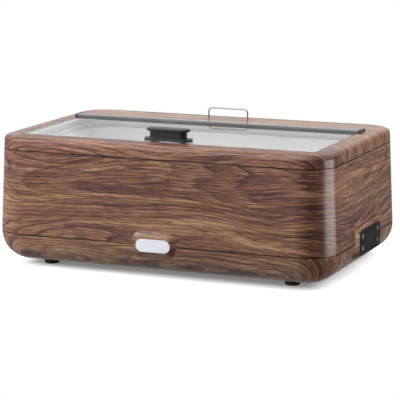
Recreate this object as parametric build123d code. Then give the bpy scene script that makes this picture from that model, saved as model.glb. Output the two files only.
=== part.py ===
from build123d import *
from math import atan, degrees, radians, tan
import os

# Electric chafing dish, millimetres, +Z up, front towards -Y, control panel on the +X side.
# The origin is on the table under the middle of the body.

# Outer form
body_width = 615.0
body_depth = 397.0
corner_radius = 59.0
foot_height = 10.0
lower_seam_z = 60.0
upper_seam_z = 203.5
rim_z = 226.0
wall_lean = 7.4
bottom_edge_radius = 48.0
rim_edge_radius = 9.0
crown_rise = 2.0
crown_width = 22.3
seam_gap = 1.0
wall = 3.5
lip_height = 6.0
lip_thickness = 1.3
lip_clearance = 0.2
lip_root = 1.5
upper_lip_root = 1.0
upper_lip_height = 3.0
cavity_edge_limit = 6.0

# Feet and their screws
foot_from_side = 85.5
foot_from_front = 65.5
foot_top_diameter = 28.0
foot_bottom_diameter = 25.0
foot_edge_radius = 1.5
screw_radius = 2.0
screw_clearance = 0.05
screw_head_radius = 3.8
screw_head_height = 2.6
screw_slot_width = 0.8
screw_slot_depth = 1.0
post_radius = 6.0
foot_screw_depth = 12.0
foot_recess_radius = 5.5
foot_recess_depth = 5.0
foot_post_end_wall = 2.0

# Body screws in posts near the corners and at the middle of the front and rear
post_from_side = 60.5
post_from_front = 65.5
middle_post_from_front = 57.5
body_screw_recess = 16.0
body_screw_length = 62.0
body_post_height = 34.0
post_end_wall = 4.0
rib_thickness = 3.0
rib_root = 0.8
rib_lap = 1.0
rib_above_lip = 1.0
post_root = 0.5
head_clearance = 0.4
screw_end_gap = 2.0

# Vents in the floor
vent_length = 46.0
vent_width = 4.0
vent_pitch = 11.0
vent_count = 7
vent_x = 110.0

# Food pan of the GN 1/1 size, 530 by 325, and water pan
pan_from_side = 42.5
pan_from_front = 14.5
pan_from_rear = 57.5
pan_depth = 65.0
pan_flange_z = 203.0
pan_flange_width = 13.0
pan_flange_corner = 26.0
pan_lip = 3.0
pan_corner = 48.0
pan_taper = 4.0
pan_bottom_radius = 16.0
sheet = 0.8
pan_play = 2.0
basin_flange_z = 210.0
basin_floor_z = 110.0
basin_gap = 3.5
basin_corner = 50.0
basin_taper = 2.0
basin_bottom_radius = 20.0
basin_side_flange = 17.0
basin_rear_flange = 15.0
basin_flange_corner = 46.0
ledge_thickness = 3.5
ledge_clearance = 0.8

# Heater under the water pan
element_from_pan_end = 110.0
element_margin_x = 35.0
element_margin_y = 26.0
element_from_pan_side = 93.5
heat_plate_thickness = 4.0
plate_corner = 12.0
element_radius = 4.0
element_passes = 4
element_bend = 20.0
element_tail = 50.0
insulation_end_margin = 15.0
insulation_side_margin = 3.0
shield_end_gap = 17.0
shield_side_gap = 9.0
shield_z = 72.0
shield_rim = 14.0
shield_sheet = 1.0
shield_post_from_end = 7.0
shield_post_from_side = 27.0
shield_screw_depth = 12.0
clamp_x = 100.0
clamp_width = 14.0
clamp_sheet = 1.2
clamp_side_gap = 3.0
clamp_foot = 10.0
ceramic_radius = 5.0
ceramic_length = 12.0
tag_length = 8.0
tag_width = 6.3
tag_thickness = 0.8
sensor_radius = 3.0
sensor_length = 26.0
sensor_from_plate = 14.0
sensor_clip_length = 14.0
sensor_clip_width = 10.0
sensor_clip_thickness = 1.0
cutout_from_element = 17.0
cutout_radius = 8.0
cutout_height = 6.0
cutout_flange_length = 26.0
cutout_flange_width = 14.0
cutout_flange_thickness = 1.2
cutout_tag_length = 24.0

# Window, glass lid and hinge
window_front_corner = 8.0
deck_underside_z = 223.2
deck_depth = 114.5
glass_thickness = 4.0
glass_gap = 1.2
glass_corner = 7.0
glass_edge = 0.5
rail_gap = 2.0
rail_depth = 16.4
rail_height = 4.0
rail_flange = 1.1
rail_edge_radius = 0.8
rail_clearance = 0.1
glass_in_rail = 8.5
hinge_from_rail_rear = 4.0
hinge_below_rail_top = 2.5
pin_radius = 1.5
pin_clearance = 0.05
pin_press = 0.02
pin_depth = 11.6
pin_end_gap = 0.6
ear_thickness = 3.0
ear_length = 29.0
ear_past_deck = 11.0
ear_drop = 3.0
ear_corner = 3.0
ear_gap = 0.1
ear_slot_gap = 0.4
ear_slot_end_gap = 0.6
ear_slot_height = 20.0
ear_foot_length = 22.0
ear_foot_thickness = 1.5
ear_foot_gap = 1.0
ear_screw_first = 6.0
ear_screw_second = 14.0
small_screw_radius = 1.5
small_head_radius = 2.8
small_head_height = 1.8
deck_screw_depth = 2.3
deck_screw_hole = 3.0
bumper_radius = 3.0
bumper_height = 0.8
bumper_from_edge = 0.4
bumper_from_front = 22.0
bumper_from_rail = 26.0
collar_from_side = 32.5
collar_from_window = 21.2
collar_from_rear = 38.5
collar_corner = 34.0
collar_foot_gap = 0.4
collar_side_flange = 15.0
collar_front_flange = 32.0
collar_relief = 5.0
collar_screw_from_end = 85.0
collar_screw_from_front = 12.0
collar_screw_edge = 0.3
lift_tab_width = 34.0
lift_tab_thickness = 3.0
lift_tab_front_y = -70.0
lift_tab_rear_y = 90.0
lift_tab_from_side = 137.5
lift_tab_gap = 0.4
lift_tab_lap = 1.4
lift_tab_below_deck = 7.0
lift_tab_reach = 60.0
deck_rib_x = 90.0
deck_rib_from_side = 97.5
deck_rib_height = 9.0
deck_rib_thickness = 2.5
deck_rib_gap = 3.0
deck_rib_root = 0.2

# Knob on the glass
knob_from_front = 25.2
knob_base_length = 86.0
knob_base_width = 29.0
knob_base_height = 4.0
knob_base_edge = 1.2
knob_neck_length = 66.5
knob_neck_width = 18.5
knob_neck_height = 11.5
knob_cap_length = 76.5
knob_cap_width = 24.5
knob_cap_height = 5.0
knob_cap_edge = 1.6
knob_cap_lower_edge = 1.0
knob_screw_spacing = 52.5
knob_screw_radius = 2.5
knob_screw_end_wall = 3.0
knob_hole_gap = 0.7
knob_washer_radius = 8.0
knob_washer_height = 1.1

# Wire bail behind the hinge
bail_half_width = 37.5
bail_from_rear = 62.5
bail_rise = 20.3
wire_radius = 1.25
bail_bend = 7.0
bail_nut_width = 5.5
bail_nut_height = 2.6
bail_tail = 2.0

# Badge on the front
badge_length = 62.0
badge_height = 22.0
badge_thickness = 1.8
badge_margin = 1.0
badge_rise = 4.6
badge_side_bevel = 8.8
badge_top_bevel = 9.3
badge_low_bevel = 5.4
badge_depth = 14.0
badge_edge = 0.4
inset_gap = 0.3

# Control panel on the right side
panel_length = 115.0
panel_height = 43.0
panel_corner = 10.0
panel_thickness = 2.4
panel_y = 4.5
panel_z = 59.0
panel_rise = 4.0
panel_bevel = 8.0
panel_low_bevel = 1.2
panel_depth = 20.0
panel_opening_depth = 40.0
panel_margin = 1.0
panel_edge = 0.4
panel_ledge = 3.5
panel_post_from_button = 12.0
panel_post_radius = 3.0
button_from_end = 16.5
button_from_side = 11.5
button_radius = 4.9
button_edge_radius = 0.6
button_flange_radius = 6.4
button_flange_height = 1.0
button_flange_gap = 0.05
button_proud = 0.8
button_gap = 0.3
button_travel = 1.2
plunger_radius = 2.0
plunger_length = 2.0
display_length = 48.0
display_height = 22.0
display_corner = 3.0
display_thickness = 1.5
display_step = 0.1
display_ledge = 2.0
board_gap = 4.5
board_edge_gap = 1.5
board_thickness = 1.6
switch_size = 6.0
display_module_margin = 4.0
display_module_height = 3.5
chip_length = 24.0
chip_width = 10.0
chip_height = 6.0
chip_below = 4.0

# Mains inlet and power board
inlet_from_side = 107.5
inlet_z = 88.0
inlet_flange_width = 50.0
inlet_flange_height = 26.0
inlet_flange_thickness = 2.5
inlet_flange_corner = 3.0
inlet_seat_gap = 0.5
inlet_pad_margin = 4.0
inlet_pad_inset = 1.5
inlet_face_above = 2.0
inlet_face_depth = 0.2
inlet_width = 27.0
inlet_height = 19.5
inlet_depth = 24.0
inlet_body_gap = 0.4
inlet_body_corner = 2.0
inlet_rim = 1.5
inlet_back_wall = 4.0
inlet_chamfer = 4.0
inlet_screw_spacing = 40.0
inlet_screw_length = 9.0
inlet_head_height = 1.2
inlet_pin_spacing = 7.0
inlet_pin_shift = 2.0
inlet_pin_width = 2.0
inlet_pin_height = 4.0
inlet_pin_length = 24.0
power_board_length = 70.0
power_board_width = 90.0
power_board_from_side = 75.5
power_board_y = 10.0
power_board_z = 28.0
board_post_radius = 4.0
board_post_from_edge = 6.0
board_screw_depth = 8.0
board_screw_end_gap = 1.0
relay_size = (20.0, 28.0, 16.0)
relay_place = (-14.0, 18.0)
transformer_size = (16.0, 20.0, 14.0)
transformer_place = (-16.0, -18.0)
terminal_size = (28.0, 12.0, 10.0)
terminal_place = (14.0, -28.0)
capacitor_radius = 6.0
capacitor_height = 18.0
capacitor_place = (10.0, 6.0)

over = 1.0
weld = 0.4
flat_left = 0.5
lean_angle = degrees(atan(wall_lean / (rim_z - lower_seam_z)))
half_width = body_width / 2
half_depth = body_depth / 2
deck_z = rim_z + crown_rise
ledge_top_z = pan_flange_z - pan_lip
shelf_z = ledge_top_z - sheet
window_inset = wall_lean + rim_edge_radius + crown_width
window_x = half_width - window_inset
window_front_y = -(half_depth - window_inset)
foot_x = half_width - foot_from_side
foot_y = half_depth - foot_from_front
body_post_x = half_width - post_from_side
body_post_y = half_depth - post_from_front
middle_post_y = half_depth - middle_post_from_front
pan_length = body_width - 2 * pan_from_side
pan_width = body_depth - pan_from_front - pan_from_rear
pan_centre_y = (pan_from_front - pan_from_rear) / 2
element_length = pan_length - 2 * element_from_pan_end
element_pitch = (pan_width - 2 * element_from_pan_side) / (element_passes - 1)
heat_plate_length = element_length + 2 * element_margin_x
heat_plate_width = (element_passes - 1) * element_pitch + 2 * element_margin_y
insulation_length = heat_plate_length - 2 * insulation_end_margin
insulation_width = heat_plate_width + 2 * insulation_side_margin
shield_length = insulation_length + 2 * shield_end_gap
shield_width = insulation_width + 2 * shield_side_gap
deck_front_y = half_depth - deck_depth
rail_rear_y = deck_front_y - rail_gap
rail_front_y = rail_rear_y - rail_depth
hinge_y = rail_rear_y - hinge_from_rail_rear
hinge_z = deck_z + rail_height - hinge_below_rail_top
ear_rear_y = deck_front_y + ear_past_deck
ear_front_y = ear_rear_y - ear_length
collar_x = half_width - collar_from_side
collar_front_y = window_front_y - collar_from_window
collar_rear_y = half_depth - collar_from_rear
collar_screw_x = collar_x - collar_screw_from_end
knob_y = window_front_y + knob_from_front
bail_y = half_depth - bail_from_rear
inlet_x = half_width - inlet_from_side
button_offset_y = panel_length / 2 - button_from_end
button_offset_z = panel_height / 2 - button_from_side
panel_post_y = button_offset_y - panel_post_from_button
power_board_x = half_width - power_board_from_side


def lean_at(z):
    """How far the outer wall has moved inwards at a height."""
    return (z - lower_seam_z) * tan(radians(lean_angle))


def rounded_outline(half_x, half_y, radius, z, centre_y=0.0):
    """Rounded rectangle lying at a height."""
    limit = min(half_x, half_y) - flat_left
    return Pos(0, centre_y, z) * RectangleRounded(2 * half_x, 2 * half_y, min(radius, limit))


def straight_block(half_x, half_y, radius, low, high, centre_y=0.0):
    """Upright block with rounded corners between two heights."""
    return extrude(rounded_outline(half_x, half_y, radius, low, centre_y), high - low)


def leaning_block(inset, low, high):
    """Block that follows the leaning walls, set in from their outer face."""
    shift = inset + lean_at(low)
    outline = rounded_outline(half_width - shift, half_depth - shift, corner_radius - shift, low)
    return extrude(outline, high - low, taper=lean_angle)


def leaning_ring(inset, thickness, low, high):
    """Ring that follows the leaning walls."""
    return leaning_block(inset, low, high) - leaning_block(inset + thickness, low - over, high + over)


def base_block(inset, low, high):
    """Block with the large rounded lower edge, set in from the outer face."""
    block = straight_block(half_width - inset, half_depth - inset, corner_radius - inset, low, high)
    radius = min(bottom_edge_radius - inset, high - low - flat_left)
    return fillet(block.faces().sort_by(Axis.Z)[0].edges(), radius)


def crowned_block(inset, top, crown, edge_radius, low):
    """Block with leaning walls, a rounded top edge and a shallow crown."""
    block = leaning_block(inset, low, top)
    block = fillet(block.faces().sort_by(Axis.Z)[-1].edges(), edge_radius)
    if crown > 0:
        shift = lean_at(top) + inset + edge_radius
        half_x = half_width - shift
        half_y = half_depth - shift
        slope = degrees(atan(crown_width / crown))
        outline = rounded_outline(half_x, half_y, corner_radius - shift, top)
        block += extrude(outline, crown, taper=slope)
    return block


def outer_form():
    """The closed outer form, used to seat what stands on the skin."""
    return base_block(0, foot_height, lower_seam_z) + leaning_block(0, lower_seam_z, rim_z)


def upright(x, y, radius, low, high):
    """Upright round bar."""
    return extrude(Pos(x, y, low) * Circle(radius), high - low)


def screw_up(x, y, head_z, length, radius=screw_radius):
    """Screw driven upwards, its head below."""
    head = upright(x, y, screw_head_radius, head_z, head_z + screw_head_height)
    neck_z = head_z + screw_head_height
    slot = Box(2 * screw_radius, screw_slot_width, screw_slot_depth)
    slot = Pos(x, y, head_z + screw_slot_depth / 2) * slot
    return head + upright(x, y, radius, neck_z, neck_z + length) - slot


def corners(half_x, half_y):
    """The four corner places of a rectangle."""
    return [(sx * half_x, sy * half_y) for sx in (-1, 1) for sy in (-1, 1)]


body_post_places = corners(body_post_x, body_post_y) + [(0, -middle_post_y), (0, middle_post_y)]
shield_posts = [
    (x, y + pan_centre_y)
    for x, y in corners(shield_length / 2 - shield_post_from_end, shield_width / 2 - shield_post_from_side)
]
board_post_x = power_board_length / 2 - board_post_from_edge
board_post_y = power_board_width / 2 - board_post_from_edge
board_posts = [
    (x + power_board_x, y + power_board_y) for x, y in corners(board_post_x, board_post_y)
]
floor_z = foot_height + wall
tray_top_z = lower_seam_z - seam_gap / 2
shell_low_z = lower_seam_z + seam_gap / 2
shell_top_z = upper_seam_z - seam_gap / 2
frame_low_z = upper_seam_z + seam_gap / 2
panel_face_x = half_width + panel_rise
badge_face_y = -(half_depth + badge_rise)
panel_back_x = panel_face_x - panel_thickness
board_front_x = panel_back_x - button_flange_height - button_travel - board_gap
heat_plate_top = basin_floor_z - sheet
heat_plate_low = heat_plate_top - heat_plate_thickness
element_z = heat_plate_low - element_radius
insulation_top = element_z - element_radius - clamp_sheet
insulation_low = shield_z + shield_sheet
glass_low_z = deck_z - glass_thickness


def panel_opening():
    """Opening through the skin behind the control panel."""
    outline = RectangleRounded(
        panel_length - 2 * panel_ledge, panel_height - 2 * panel_ledge, panel_corner - panel_ledge
    )
    inner = Plane.YZ.offset(half_width - panel_opening_depth)
    return extrude(inner * Pos(panel_y, panel_z) * outline, 2 * panel_opening_depth)


def make_base_tray():
    """Lower shell with a floor, an upstanding lip, posts and vents."""
    tray = base_block(0, foot_height, tray_top_z) - base_block(wall, floor_z, tray_top_z + over)
    root_low = tray_top_z - lip_height
    root = straight_block(
        half_width - wall + weld, half_depth - wall + weld, corner_radius - wall, root_low, tray_top_z
    )
    inset = wall + lip_clearance + lip_thickness
    root -= straight_block(
        half_width - inset, half_depth - inset, corner_radius - inset, root_low - over, tray_top_z + over
    )
    tray += root
    lip_low = tray_top_z - lip_root
    tray += leaning_ring(wall + lip_clearance, lip_thickness, lip_low, tray_top_z + lip_height)
    post_low = floor_z - post_root
    for x, y in body_post_places:
        tray += upright(x, y, post_radius, post_low, shell_low_z)
    for x, y in shield_posts:
        tray += upright(x, y, post_radius, post_low, shield_z)
    for x, y in corners(foot_x, foot_y):
        tray += upright(x, y, post_radius, post_low, floor_z + foot_screw_depth)
    for x, y in board_posts:
        tray += upright(x, y, board_post_radius, post_low, power_board_z)
    hole_radius = screw_radius + screw_clearance
    recess_radius = screw_head_radius + head_clearance
    for x, y in body_post_places:
        tray -= upright(x, y, recess_radius, foot_height - over, foot_height + body_screw_recess)
        tray -= upright(x, y, hole_radius, foot_height, shell_low_z + over)
    hole_low = shield_z - shield_screw_depth - screw_end_gap
    for x, y in shield_posts:
        tray -= upright(x, y, hole_radius, hole_low, shield_z + over)
    hole_top = floor_z + foot_screw_depth - foot_post_end_wall
    for x, y in corners(foot_x, foot_y):
        tray -= upright(x, y, hole_radius, foot_height - over, hole_top)
    hole_low = power_board_z - board_screw_depth - board_screw_end_gap
    for x, y in board_posts:
        tray -= upright(x, y, small_screw_radius + screw_clearance, hole_low, power_board_z + over)
    for side in (-1, 1):
        for index in range(vent_count):
            x = side * vent_x + (index - (vent_count - 1) / 2) * vent_pitch
            place = Pos(x, pan_centre_y, foot_height - over) * Rot(0, 0, 90)
            tray -= extrude(place * SlotOverall(vent_length, vent_width), wall + 2 * over)
    return tray - panel_opening()


def make_body_shell():
    """Middle shell with leaning walls, a shelf for the water pan, and screw posts."""
    shell = leaning_ring(0, wall, shell_low_z, shell_top_z)
    shelf = leaning_block(wall - weld, shelf_z - ledge_thickness, shelf_z)
    gap = basin_gap + sheet + ledge_clearance
    half_x = pan_length / 2 - pan_flange_width + gap
    half_y = pan_width / 2 - pan_flange_width + gap
    shelf -= straight_block(
        half_x, half_y, basin_corner, shelf_z - ledge_thickness - over, shelf_z + over, pan_centre_y
    )
    shell += shelf
    root = weld + lip_clearance + lip_thickness
    shell += leaning_ring(wall - weld, root, shelf_z - upper_lip_root, shell_top_z)
    lip_low = shell_top_z - upper_lip_root
    lip_top = shell_top_z + upper_lip_height
    shell += leaning_ring(wall + lip_clearance, lip_thickness, lip_low, lip_top)
    for x, y in body_post_places:
        shell += upright(x, y, post_radius, shell_low_z, shell_low_z + body_post_height)
    near_x = body_post_x + post_radius - rib_lap
    near_y = middle_post_y + post_radius - rib_lap
    far_x = half_width - wall + rib_root
    far_y = half_depth - wall + rib_root
    low = shell_low_z + lip_height + rib_above_lip
    rib_height = body_post_height - lip_height - rib_above_lip
    for x, y in corners((near_x + far_x) / 2, body_post_y):
        shell += Pos(x, y, low + rib_height / 2) * Box(far_x - near_x, rib_thickness, rib_height)
    for side in (-1, 1):
        y = side * (near_y + far_y) / 2
        shell += Pos(0, y, low + rib_height / 2) * Box(rib_thickness, far_y - near_y, rib_height)
    hole_top = shell_low_z + body_post_height - post_end_wall
    for x, y in body_post_places:
        shell -= upright(x, y, screw_radius + screw_clearance, shell_low_z - over, hole_top)
    face = inlet_face_y()
    width = inlet_flange_width + 2 * inlet_pad_margin
    height = inlet_flange_height + 2 * inlet_pad_margin
    pad = rear_box(width, height, face - inlet_flange_thickness - wall, face)
    shell += pad & leaning_block(inlet_pad_inset, shell_low_z, shell_top_z)
    shell -= inlet_pocket()
    return shell - panel_opening()


def rear_face_y(z):
    """Outer face of the rear wall at a height."""
    return half_depth - lean_at(z)


def inlet_face_y():
    """Plane in which the inlet's flange lies."""
    return rear_face_y(inlet_z + inlet_flange_height / 2 + inlet_face_above) - inlet_face_depth


def rear_box(width, height, front, rear):
    """Box through the rear wall round the inlet's centre, between two depths."""
    return Pos(inlet_x, (front + rear) / 2, inlet_z) * Box(width, rear - front, height)


def inlet_pocket():
    """Flat seat and opening for the mains inlet, with its two screw holes."""
    face = inlet_face_y()
    outside = face + inlet_flange_thickness + wall
    width = inlet_flange_width + 2 * inlet_seat_gap
    height = inlet_flange_height + 2 * inlet_seat_gap
    pocket = rear_box(width, height, face - inlet_flange_thickness, outside)
    width = inlet_width + 2 * inlet_body_gap
    height = inlet_height + 2 * inlet_body_gap
    pocket += rear_box(width, height, face - inlet_depth, outside)
    for place in inlet_screw_places():
        pocket += place * Cylinder(small_screw_radius + screw_clearance, 2 * inlet_depth)
    return pocket


def inlet_screw_places():
    """Where the two screws pass through the inlet's flange, along the depth."""
    half = inlet_screw_spacing / 2
    return [Pos(x, inlet_face_y(), inlet_z) * Rot(90, 0, 0) for x in (inlet_x - half, inlet_x + half)]


def make_inlet_housing():
    """Mains inlet: flange, body and the recess round the three pins."""
    face = inlet_face_y()
    seat = face - inlet_flange_thickness
    housing = rear_box(inlet_flange_width, inlet_flange_height, seat, face)
    housing = fillet(housing.edges().filter_by(Axis.Y), inlet_flange_corner)
    body = rear_box(inlet_width, inlet_height, face - inlet_depth, seat)
    housing += fillet(body.edges().filter_by(Axis.Y), inlet_body_corner)
    bottom = face - inlet_depth + inlet_back_wall
    mouth = rear_box(inlet_width - 2 * inlet_rim, inlet_height - 2 * inlet_rim, bottom, face + over)
    housing -= chamfer(mouth.edges().filter_by(Axis.Y).sort_by(Axis.Z)[-2:], inlet_chamfer)
    for place in inlet_screw_places():
        housing -= place * Cylinder(small_screw_radius + 2 * screw_clearance, 2 * inlet_depth)
    width = inlet_pin_width + 2 * screw_clearance
    height = inlet_pin_height + 2 * screw_clearance
    for x, z in inlet_pin_places():
        housing -= Pos(x, bottom - inlet_back_wall / 2, z) * Box(width, 2 * inlet_back_wall, height)
    return housing


def inlet_pin_places():
    """The two outer pins and the middle one, which sits higher."""
    low = inlet_z - inlet_pin_shift
    high = inlet_z + inlet_pin_shift
    return [(inlet_x - inlet_pin_spacing, low), (inlet_x, high), (inlet_x + inlet_pin_spacing, low)]


def make_inlet_pins():
    """Three flat pins with their tags at the back."""
    middle = inlet_face_y() - inlet_depth + inlet_pin_length / 4
    pin = Box(inlet_pin_width, inlet_pin_length, inlet_pin_height)
    return Compound(children=[Pos(x, middle, z) * pin for x, z in inlet_pin_places()])


def make_inlet_screws():
    """Two pan-headed screws through the inlet's flange."""
    screws = []
    for place in inlet_screw_places():
        shank = place * Pos(0, 0, inlet_screw_length / 2) * Cylinder(small_screw_radius, inlet_screw_length)
        head = place * Pos(0, 0, -inlet_head_height / 2) * Cylinder(small_head_radius, inlet_head_height)
        slot = Box(2 * small_screw_radius, screw_slot_width, screw_slot_depth)
        slot = place * Pos(0, 0, -inlet_head_height) * slot
        screws.append(shank + head - slot)
    return Compound(children=screws)


def make_foot(x, y):
    """Tapered rubber foot with a recess for its screw."""
    outline = Pos(x, y, 0) * Circle(foot_bottom_diameter / 2)
    top = Pos(x, y, foot_height) * Circle(foot_top_diameter / 2)
    foot = loft([outline.face(), top.face()])
    foot = fillet(foot.faces().sort_by(Axis.Z)[0].edges(), foot_edge_radius)
    foot -= upright(x, y, foot_recess_radius, -over, foot_recess_depth)
    return foot - upright(x, y, screw_radius + screw_clearance, 0, foot_height + over)


def make_foot_screws():
    """One screw up through each foot."""
    head_z = foot_recess_depth - screw_head_height
    length = foot_height - foot_recess_depth + foot_screw_depth
    return Compound(children=[screw_up(x, y, head_z, length) for x, y in corners(foot_x, foot_y)])


def make_body_screws():
    """Long screws that join the base tray to the body shell."""
    head_z = foot_height + body_screw_recess - screw_head_height
    return Compound(children=[screw_up(x, y, head_z, body_screw_length) for x, y in body_post_places])


def pan_wall(half_x, half_y, radius, top, bottom, taper, bottom_radius):
    """Solid tapered tub hanging down from a height, with a rounded bottom edge."""
    downwards = Plane(origin=(0, pan_centre_y, top), z_dir=(0, 0, -1))
    tub = extrude(downwards * RectangleRounded(2 * half_x, 2 * half_y, radius), top - bottom, taper=taper)
    return fillet(tub.faces().sort_by(Axis.Z)[0].edges(), bottom_radius)


def make_food_pan():
    """Pressed steel pan with a flat flange and a turned-down lip."""
    half_x = pan_length / 2
    half_y = pan_width / 2
    top = pan_flange_z
    bottom = top - pan_depth
    inner_x = half_x - pan_flange_width
    inner_y = half_y - pan_flange_width
    outside = pan_wall(
        inner_x + sheet, inner_y + sheet, pan_corner, top, bottom, pan_taper, pan_bottom_radius + sheet
    )
    inside = pan_wall(
        inner_x, inner_y, pan_corner - sheet, top, bottom + sheet, pan_taper, pan_bottom_radius
    )
    flange = straight_block(half_x, half_y, pan_flange_corner, top - sheet, top, pan_centre_y)
    lip = straight_block(half_x, half_y, pan_flange_corner, top - pan_lip, top - sheet, pan_centre_y)
    lip -= straight_block(
        half_x - sheet, half_y - sheet, pan_flange_corner - sheet, top - pan_lip - over, top, pan_centre_y
    )
    mouth = straight_block(inner_x, inner_y, pan_corner - sheet, top - sheet, top + over, pan_centre_y)
    return outside + flange + lip - inside - mouth


def make_water_pan():
    """Water basin with a stepped seat for the food pan and a folded outer flange."""
    recess_x = pan_length / 2 + pan_play
    recess_y = pan_width / 2 + pan_play
    recess_corner = pan_flange_corner + pan_play
    outer_x = recess_x + basin_side_flange
    front_y = pan_centre_y - recess_y - sheet
    rear_y = pan_centre_y + recess_y + basin_rear_flange
    outer_half_y = (rear_y - front_y) / 2
    outer_centre_y = (rear_y + front_y) / 2
    basin_x = pan_length / 2 - pan_flange_width + basin_gap
    basin_y = pan_width / 2 - pan_flange_width + basin_gap
    body = straight_block(
        outer_x, outer_half_y, basin_flange_corner, shelf_z, basin_flange_z, outer_centre_y
    )
    body -= straight_block(
        outer_x - sheet,
        outer_half_y - sheet,
        basin_flange_corner - sheet,
        shelf_z - over,
        basin_flange_z - sheet,
        outer_centre_y,
    )
    body += straight_block(
        recess_x + sheet, recess_y + sheet, recess_corner + sheet, shelf_z, basin_flange_z, pan_centre_y
    )
    body -= straight_block(
        recess_x, recess_y, recess_corner, ledge_top_z, basin_flange_z + over, pan_centre_y
    )
    outside = pan_wall(
        basin_x + sheet,
        basin_y + sheet,
        basin_corner,
        ledge_top_z,
        basin_floor_z - sheet,
        basin_taper,
        basin_bottom_radius + sheet,
    )
    inside = pan_wall(
        basin_x, basin_y, basin_corner - sheet, ledge_top_z, basin_floor_z, basin_taper, basin_bottom_radius
    )
    mouth = straight_block(
        basin_x, basin_y, basin_corner - sheet, shelf_z - over, ledge_top_z + over, pan_centre_y
    )
    return body + outside - inside - mouth


def make_heat_plate():
    """Aluminium plate bonded under the water pan."""
    half_x = heat_plate_length / 2
    half_y = heat_plate_width / 2
    return straight_block(half_x, half_y, plate_corner, heat_plate_low, heat_plate_top, pan_centre_y)


def element_route():
    """Serpentine centre line of the heating element, both ends on the right."""
    half = element_length / 2
    tail_x = half + element_tail
    points = []
    for index in range(element_passes):
        y = pan_centre_y + (index - (element_passes - 1) / 2) * element_pitch
        start, end = (half, -half) if index % 2 == 0 else (-half, half)
        if index == 0:
            start = tail_x
        if index == element_passes - 1:
            end = tail_x
        points.append((start, y, element_z))
        points.append((end, y, element_z))
    return points


def make_heating_element():
    """Tubular heating element under the plate."""
    path = FilletPolyline(*element_route(), radius=element_bend)
    profile = Plane(origin=path @ 0, z_dir=path % 0) * Circle(element_radius)
    return sweep(profile, path=path)


def make_element_terminals():
    """Ceramic end pieces of the heating element."""
    ends = [element_route()[0], element_route()[-1]]
    pieces = []
    for x, y, z in ends:
        bead = Pos(x + ceramic_length / 2, y, z) * Rot(0, 90, 0) * Cylinder(ceramic_radius, ceramic_length)
        tag = Pos(x + ceramic_length + tag_length / 2, y, z) * Box(tag_length, tag_width, tag_thickness)
        pieces.append(bead + tag)
    return Compound(children=pieces)


def make_element_clamps():
    """Two bent strips that hold the element up against the plate."""
    clamps = []
    half = (element_passes - 1) / 2 * element_pitch + element_radius + clamp_side_gap
    bend = 2 * element_radius + clamp_sheet
    for x in (-clamp_x, clamp_x):
        strip = Pos(x, pan_centre_y, insulation_top + clamp_sheet / 2) * Box(
            clamp_width, 2 * (half + clamp_sheet), clamp_sheet
        )
        for side in (-1, 1):
            y = pan_centre_y + side * (half + clamp_sheet / 2)
            strip += Pos(x, y, insulation_top + bend / 2) * Box(clamp_width, clamp_sheet, bend)
            foot = Box(clamp_width, clamp_foot, clamp_sheet)
            strip += Pos(x, y + side * clamp_foot / 2, heat_plate_low - clamp_sheet / 2) * foot
        clamps.append(strip)
    return Compound(children=clamps)


def make_insulation():
    """Mineral-fibre slab between the heater and the shield."""
    half_x = insulation_length / 2
    half_y = insulation_width / 2
    return straight_block(half_x, half_y, plate_corner, insulation_low, insulation_top, pan_centre_y)


def make_heat_shield():
    """Sheet-metal tray that carries the insulation on four posts."""
    half_x = shield_length / 2
    half_y = shield_width / 2
    tray = straight_block(half_x, half_y, plate_corner, shield_z, shield_z + shield_rim, pan_centre_y)
    tray -= straight_block(
        half_x - shield_sheet,
        half_y - shield_sheet,
        plate_corner - shield_sheet,
        shield_z + shield_sheet,
        shield_z + shield_rim + over,
        pan_centre_y,
    )
    for x, y in shield_posts:
        tray -= upright(x, y, screw_radius + screw_clearance, shield_z - over, shield_z + 2 * over)
    return tray


def make_shield_screws():
    """Screws down through the shield into its posts."""
    screws = []
    for x, y in shield_posts:
        head = upright(x, y, screw_head_radius, insulation_low, insulation_low + screw_head_height)
        shank = upright(x, y, screw_radius, shield_z - shield_screw_depth, insulation_low)
        slot = Pos(x, y, insulation_low + screw_head_height) * Box(
            2 * screw_radius, screw_slot_width, 2 * screw_slot_depth
        )
        screws.append(head + shank - slot)
    return Compound(children=screws)


def make_temperature_sensor():
    """Sensor bead in a clip against the floor of the water pan."""
    x = heat_plate_length / 2 + sensor_from_plate
    bead = Rot(90, 0, 0) * Cylinder(sensor_radius, sensor_length)
    bead = Pos(x, pan_centre_y, heat_plate_top - sensor_radius) * bead
    clip = Box(sensor_clip_width, sensor_clip_length, sensor_clip_thickness)
    return bead + Pos(x, pan_centre_y, heat_plate_top - sensor_clip_thickness / 2) * clip


def make_thermal_cutout():
    """Round thermal cut-out with two tags, held against the heat plate."""
    x = element_length / 2 + element_radius + cutout_from_element
    low = heat_plate_low - cutout_height
    body = upright(x, pan_centre_y, cutout_radius, low, heat_plate_low)
    flange = Pos(x, pan_centre_y, heat_plate_low - cutout_flange_thickness / 2) * Box(
        cutout_flange_width, cutout_flange_length, cutout_flange_thickness
    )
    tags = Pos(x, pan_centre_y, low - tag_thickness / 2) * Box(tag_width, cutout_tag_length, tag_thickness)
    return body + flange + tags


def make_power_board():
    """Power board with its relay, transformer, capacitor and terminal block."""
    x = power_board_x
    y = power_board_y
    z = power_board_z
    board = Box(power_board_length, power_board_width, board_thickness)
    board = Pos(x, y, z + board_thickness / 2) * board
    top = z + board_thickness
    blocks = (
        (relay_place, relay_size),
        (transformer_place, transformer_size),
        (terminal_place, terminal_size),
    )
    for (across, along), size in blocks:
        board += Pos(x + across, y + along, top + size[2] / 2) * Box(*size)
    across, along = capacitor_place
    board += upright(x + across, y + along, capacitor_radius, top, top + capacitor_height)
    for px, py in board_posts:
        board -= upright(px, py, small_screw_radius + screw_clearance, z - over, top + over)
    return board


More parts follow.
